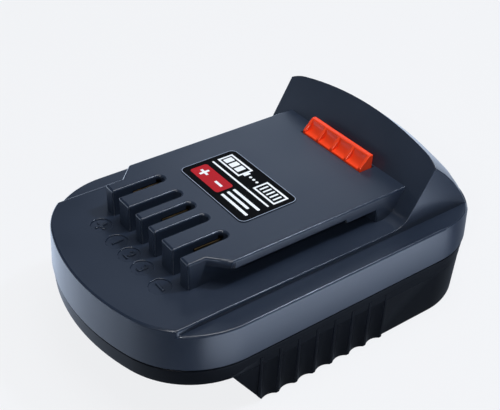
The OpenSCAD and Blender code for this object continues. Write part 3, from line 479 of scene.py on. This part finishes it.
# Carrier screws: two thread-forming screws with cross recesses, up into the fins.
# Cold-headed steel with bright zinc plating, a little cloudy and finely drawn.
zinc_steel = sheet_metal("zinc_plated_steel", "#b9bcc0", 0.32, 0.2)
screw_edge = 0.15
rounded_piece("carrier_screws", lambda p: screw_edge, zinc_steel, "housing",
              segments=2)

# Latch: the orange-red wedge that catches the tool, with four cells on its ramp to grip it.
# ABS moulded in its own colour with a smooth finish, so it is glossier than the cover.
brow_z = 44.5
bar_front = 27.4
brow_edge = 0.08
latch_edge = 0.25


def latch_radius(p):
    """Edge radius in mm of the latch: small along the narrow brow between its bar and cells."""
    return brow_edge if p.z > brow_z and p.y < bar_front else latch_edge


orange_abs = moulded_plastic("orange_moulded_abs", "#fb4416", 0.32, 0.5, 0.6, 0.002)
rounded_piece("latch", latch_radius, orange_abs, "latch")

# Release button: the orange pad in the back of the peak that pushes the latch down.
# Moulded in the latch's plastic, held from inside by a flange behind the rear wall.
button_edge = 0.3
rounded_piece("release_button", lambda p: button_edge, orange_abs,
              "release_button")


# Lower shell: the near-black base with rim, fluted skirts and the battery dock below.
# Glass-filled polyamide, moulded with a matt grain; four screws hold it to the cover.
foot_edge = 0.4
base_edge = 0.25


def base_radius(p):
    """Edge radius in mm of the lower shell at a place in mm."""
    return foot_edge if p.z < near_level else base_edge


dark_nylon = moulded_plastic("near_black_moulded_nylon", "#080b11", 0.45, 0.12, 0.5, 0.006)
rounded_piece("lower_shell", base_radius, dark_nylon, "housing")

# Terminal block: the block at the dock's rear end that holds the blades, on two screwed ears.
# Black polyamide, stiff and heat-proof, moulded with a dull grain.
black_nylon = moulded_plastic("black_moulded_nylon", "#1a1c20", 0.48, 0.4, 0.4, 0.005)
block_edge = 0.3
rounded_piece("terminal_block", lambda p: block_edge, black_nylon, "housing")

# Blades: two power blades and a signal blade that stand out into the dock, towards the battery.
# Punched from brass strip of 0.8 mm, with the edges broken, and pressed into the block.
rolled_brass = sheet_metal("rolled_contact_brass", "#b9924a", 0.34, 0.25)
blade_edge = 0.2
for blade in ("blade_positive", "blade_negative", "blade_signal"):
    rounded_piece(blade, lambda p: blade_edge, rolled_brass, "housing", segments=2)

# Small screws: two in the terminal block's ears and four in the circuit board's corners.
# The same plated steel screws as in the carrier.
for screws in ("terminal_block_screws", "board_screws"):
    rounded_piece(screws, lambda p: screw_edge, zinc_steel, "housing", segments=2)

# Circuit board: the protection board on four posts between the blades and the clips.
# Glass-fibre laminate under green solder lacquer; the glass cloth shows through as a fine weave.
weave_mm = 0.6
weave_height_mm = 0.004
# A wave texture of scale 1 has its bands pi / 10 apart
weave_scale = 0.314 / (weave_mm * mm)
board_edge = 0.15
laminate, tree, output = new_material("lacquered_glass_laminate")
place = add(tree, "ShaderNodeTexCoord").outputs["Object"]
warp = add(tree, "ShaderNodeTexWave", {"Vector": place, "Scale": weave_scale},
           bands_direction="X")
weft = add(tree, "ShaderNodeTexWave", {"Vector": place, "Scale": weave_scale},
           bands_direction="Y")
cloth = add(tree, "ShaderNodeMath", {0: warp.outputs["Fac"], 1: weft.outputs["Fac"]},
            operation="MULTIPLY")
lacquer = add(tree, "ShaderNodeMix", {"Factor": cloth.outputs[0], "A": linear("#14502a"),
                                      "B": linear("#1f6b3a")}, data_type="RGBA")
bump = add(tree, "ShaderNodeBump", {"Height": cloth.outputs[0], "Strength": 1.0,
                                    "Distance": weave_height_mm * mm})
shader = add(tree, "ShaderNodeBsdfPrincipled", {"Base Color": lacquer.outputs["Result"],
                                                "Roughness": 0.3, "Normal": bump.outputs[0]})
tree.links.new(shader.outputs[0], output.inputs["Surface"])
rounded_piece("circuit_board", lambda p: board_edge, laminate, "housing",
              segments=2)

# Fuse holders: two spring brackets soldered to the board, which hold the fuse by its caps.
# Folded from the same bright brass strip as the blades.
holder_edge = 0.15
rounded_piece("fuse_clips", lambda p: holder_edge, rolled_brass, "housing",
              segments=2)

# Fuse: a cartridge that lies across the board and can be changed.
# A white glazed ceramic tube with a nickel-plated cap pressed on to each end.
cap_inner = 6.0
cap_edge = 0.3
glaze_cloud_mm = 2
glaze_smooth = 0.2
glaze_dull = 0.3
cartridge, tree, output = new_material("ceramic_tube_with_plated_caps")
place = add(tree, "ShaderNodeTexCoord").outputs["Object"]
across = add(tree, "ShaderNodeSeparateXYZ", {0: place})
far_x = add(tree, "ShaderNodeMath", {0: across.outputs["X"]}, operation="ABSOLUTE")
cap = add(tree, "ShaderNodeMath", {0: far_x.outputs[0], 1: cap_inner * mm},
          operation="GREATER_THAN")
cloud = add(tree, "ShaderNodeTexNoise",
            {"Vector": place, "Scale": 1 / (glaze_cloud_mm * mm), "Detail": 3.0})
glaze = add(tree, "ShaderNodeMix", {"Factor": cloud.outputs["Fac"], "A": linear("#d6d2c4"),
                                    "B": linear("#eae7dc")}, data_type="RGBA")
colour = add(tree, "ShaderNodeMix", {"Factor": cap.outputs[0], "A": glaze.outputs["Result"],
                                     "B": linear("#b5b2aa")}, data_type="RGBA")
gloss = add(tree, "ShaderNodeMapRange",
            {"Value": cloud.outputs["Fac"], "From Min": noise_low, "From Max": noise_high,
             "To Min": glaze_smooth, "To Max": glaze_dull})
shader = add(tree, "ShaderNodeBsdfPrincipled",
             {"Base Color": colour.outputs["Result"], "Metallic": cap.outputs[0],
              "Roughness": gloss.outputs[0]})
tree.links.new(shader.outputs[0], output.inputs["Surface"])
rounded_piece("fuse", lambda p: cap_edge, cartridge, "housing")


# Leads: stranded copper wires from the blades to the board and on to the clips.
# PVC insulation, extruded, so it is smooth and even in colour; they lie held on the board.
def lead(node, material):
    """Copy of a lead's solid, smoothed to a round wire, which stands for it."""
    wire = bpy.data.objects.new(node + "_finished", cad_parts[node].data.copy())
    scene.collection.objects.link(wire)
    bpy.ops.object.select_all(action="DESELECT")
    wire.select_set(True)
    bpy.context.view_layer.objects.active = wire
    bpy.ops.object.mode_set(mode="EDIT")
    bpy.ops.mesh.select_all(action="SELECT")
    bpy.ops.mesh.remove_doubles(threshold=0.01 * mm)
    bpy.ops.mesh.tris_convert_to_quads()
    bpy.ops.object.mode_set(mode="OBJECT")
    round_off = wire.modifiers.new("round", "SUBSURF")
    round_off.levels = 2
    round_off.render_levels = 2
    bpy.ops.object.modifier_apply(modifier=round_off.name)
    bpy.ops.object.shade_smooth()
    wire.data.materials.clear()
    wire.data.materials.append(material)
    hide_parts(node)
    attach(wire, "housing")


for pole, tint, tint_hex in (("positive", "red", "#b3161b"), ("negative", "black", "#17181a"),
                             ("signal", "yellow", "#d9b51c")):
    pvc = moulded_plastic(tint + "_pvc_insulation", tint_hex, 0.40, 0.5, 0.8, 0.003)
    lead("wire_" + pole, pvc)

# Latch springs: two compression springs that stand on the base's pins and lift the latch.
# Cold-coiled from drawn spring steel wire; the real ones shorten as the latch goes down, these
# coils keep one length.
spring_x = 9.0
spring_y = 26.4
coil_low = 17.1
coil_rise = 11.2
coil_r = 2.15
wire_r = 0.35
coil_turns = 6
turn_steps = 24
wire_sides = 12
drawn_steel = sheet_metal("drawn_spring_steel", "#8f9296", 0.30, 0.2)
for side, x in (("left", -spring_x), ("right", spring_x)):
    bpy.ops.object.select_all(action="DESELECT")
    bpy.ops.mesh.primitive_circle_add(vertices=wire_sides, radius=wire_r * mm, fill_type="NOTHING",
                                      location=(coil_r * mm, 0, coil_low * mm),
                                      rotation=(math.pi / 2, 0, 0))
    coil = bpy.context.object
    coil.name = "latch_spring_coil_" + side
    bpy.ops.object.transform_apply(location=True, rotation=True, scale=True)
    winding = coil.modifiers.new("winding", "SCREW")
    winding.angle = coil_turns * 2 * math.pi
    winding.screw_offset = coil_rise * mm
    winding.steps = turn_steps * coil_turns
    winding.render_steps = turn_steps * coil_turns
    bpy.ops.object.modifier_apply(modifier=winding.name)
    bpy.ops.object.mode_set(mode="EDIT")
    bpy.ops.mesh.select_all(action="SELECT")
    bpy.ops.mesh.fill_holes(sides=0)
    bpy.ops.mesh.normals_make_consistent(inside=False)
    bpy.ops.object.mode_set(mode="OBJECT")
    coil.location = (x * mm, spring_y * mm, 0)
    bpy.ops.object.transform_apply(location=True)
    bpy.ops.object.shade_smooth_by_angle(angle=math.radians(50))
    coil.data.materials.append(drawn_steel)
    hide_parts("latch_spring_" + side)
    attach(coil, "housing")
    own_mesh(coil)

# Case screws: four screws from below, in deep seats, that close the two shells.
# Plated steel with cross recesses; only their heads show from below.
head_edge = 0.2
rounded_piece("case_screws", lambda p: head_edge, zinc_steel, "housing", segments=2)

# Label: a die-cut sticker on the slide plate, black, with white and red print of plain marks.
# Polyester film with a dull overprint varnish; a thin pale ink line on its edge is a painted
# highlight.
label_x = -0.8
label_y = -9.1
label_top = 41.0
ink_rise = 0.02
film_edge = 0.05
black_film = moulded_plastic("black_polyester_film", "#050506", 0.55, 0.05, 0.3, 0.001)
rounded_piece("label", lambda p: film_edge, black_film, "housing", segments=2)


def ink_layer(patch):
    """Gives a flat patch of ink its thickness."""
    layer = patch.modifiers.new("layer", "SOLIDIFY")
    layer.thickness = ink_rise * mm
    layer.offset = 1
    bpy.ops.object.modifier_apply(modifier=layer.name)
    return patch


def ink_patch(x, y, width, height, corner, lift=0, thick=True):
    """Rounded rectangle of ink on the label, by its middle, in mm."""
    bpy.ops.object.select_all(action="DESELECT")
    bpy.ops.mesh.primitive_plane_add(size=1)
    patch = bpy.context.object
    patch.scale = (width * mm, height * mm, 1)
    patch.location = ((label_x + x) * mm, (label_y + y) * mm, (label_top + lift * ink_rise) * mm)
    bpy.ops.object.transform_apply(location=True, rotation=True, scale=True)
    if corner:
        soften = patch.modifiers.new("corners", "BEVEL")
        soften.affect = "VERTICES"
        soften.width = corner * mm
        soften.segments = 5
        bpy.ops.object.modifier_apply(modifier=soften.name)
    return ink_layer(patch) if thick else patch


def ink_frame(x, y, width, height, line):
    """Outline of a rectangle in ink, as four bars."""
    return [ink_patch(x, y + (height - line) / 2, width, line, 0),
            ink_patch(x, y - (height - line) / 2, width, line, 0),
            ink_patch(x - (width - line) / 2, y, line, height - 2 * line, 0),
            ink_patch(x + (width - line) / 2, y, line, height - 2 * line, 0)]


def ink_ring(width, height, corner, line):
    """Thin pale line of ink along the label's rounded edge, a painted highlight of that edge."""
    ring = ink_patch(0, 0, width, height, corner, thick=False)
    bpy.ops.object.mode_set(mode="EDIT")
    bpy.ops.mesh.select_all(action="SELECT")
    bpy.ops.mesh.inset(thickness=line * mm)
    bpy.ops.mesh.delete(type="FACE")
    bpy.ops.object.mode_set(mode="OBJECT")
    return ink_layer(ring)


def ink_cross(x, y, span, line, lift):
    """Plus sign in ink, by its middle: a small square with each side drawn out into an arm."""
    cross = ink_patch(x, y, line, line, 0, lift, thick=False)
    bpy.ops.object.mode_set(mode="EDIT")
    for side in range(4):
        bpy.ops.mesh.select_all(action="DESELECT")
        bpy.ops.object.mode_set(mode="OBJECT")
        edge = cross.data.edges[side]
        edge.select = True
        ends = [cross.data.vertices[i].co for i in edge.vertices]
        out = (ends[0] + ends[1]) / 2 - Vector(((label_x + x) * mm, (label_y + y) * mm, ends[0].z))
        bpy.ops.object.mode_set(mode="EDIT")
        bpy.ops.mesh.extrude_region_move(
            TRANSFORM_OT_translate={"value": out.normalized() * (span - line) / 2 * mm})
    bpy.ops.object.mode_set(mode="OBJECT")
    return ink_layer(cross)


def ink_print(name, patches, colour):
    """Joins patches into one layer of ink."""
    bpy.ops.object.select_all(action="DESELECT")
    for patch in patches:
        patch.select_set(True)
    bpy.context.view_layer.objects.active = patches[0]
    if len(patches) > 1:
        bpy.ops.object.join()
    layer = bpy.context.object
    layer.name = name
    layer.data.materials.append(moulded_plastic(name + "_screen_ink", colour, 0.5, 0.2, 0.3, 0.001))
    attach(layer, "housing")


# Painted highlight: a pale grey ink ring stands for the light caught on the label's edge
ink_print("label_edge_highlight_ink", [ink_ring(30.6, 19.1, 1.9, 0.22)], "#8f98a6")
# A full battery and a slotted one stand in the upper row, with dots between them
upper_row = 5.0
battery_h = 5.2
outline = 0.6
cell_h = 2.9
cell_corner = 0.15
dot = 0.9
white_marks = ink_frame(-8.2, upper_row, 10.4, battery_h, outline)
white_marks += [ink_patch(-2.5, upper_row, 0.9, 2.2, 0.2)]
white_marks += [ink_patch(x, upper_row, 2.0, cell_h, cell_corner) for x in (-11.3, -8.6, -5.9)]
white_marks += [ink_patch(x, upper_row, dot, dot, 0.44) for x in (-0.7, 0.8, 2.3)]
white_marks += ink_frame(8.6, upper_row, 9.6, battery_h, outline)
white_marks += [ink_patch(x, upper_row, outline, cell_h, cell_corner)
                for x in (5.6, 7.1, 8.6, 10.1, 11.6)]
# Below a rule, three bars stand beside a red field with a plus and a minus
lower_row = -4.4
rule_y = 0.7
bar_h = 0.9
bar_corner = 0.3
sign_span = 3.2
sign_line = 0.8
white_marks += [ink_patch(0, rule_y, 26.6, outline, 0.2)]
white_marks += [ink_patch(x, y, width, bar_h, bar_corner) for x, y, width in
                ((7.4, -2.4, 11.8), (6.3, lower_row, 9.6), (7.4, -6.4, 11.8))]
white_marks += [ink_cross(-10.0, lower_row, sign_span, sign_line, 1),
                ink_patch(-3.0, lower_row, sign_span, sign_line, 0, 1)]
ink_print("label_white_marks", white_marks, "#f0f0ee")
ink_print("label_red_field", [ink_patch(-6.5, lower_row, 13.6, 5.8, 0.9)], "#b00d18")
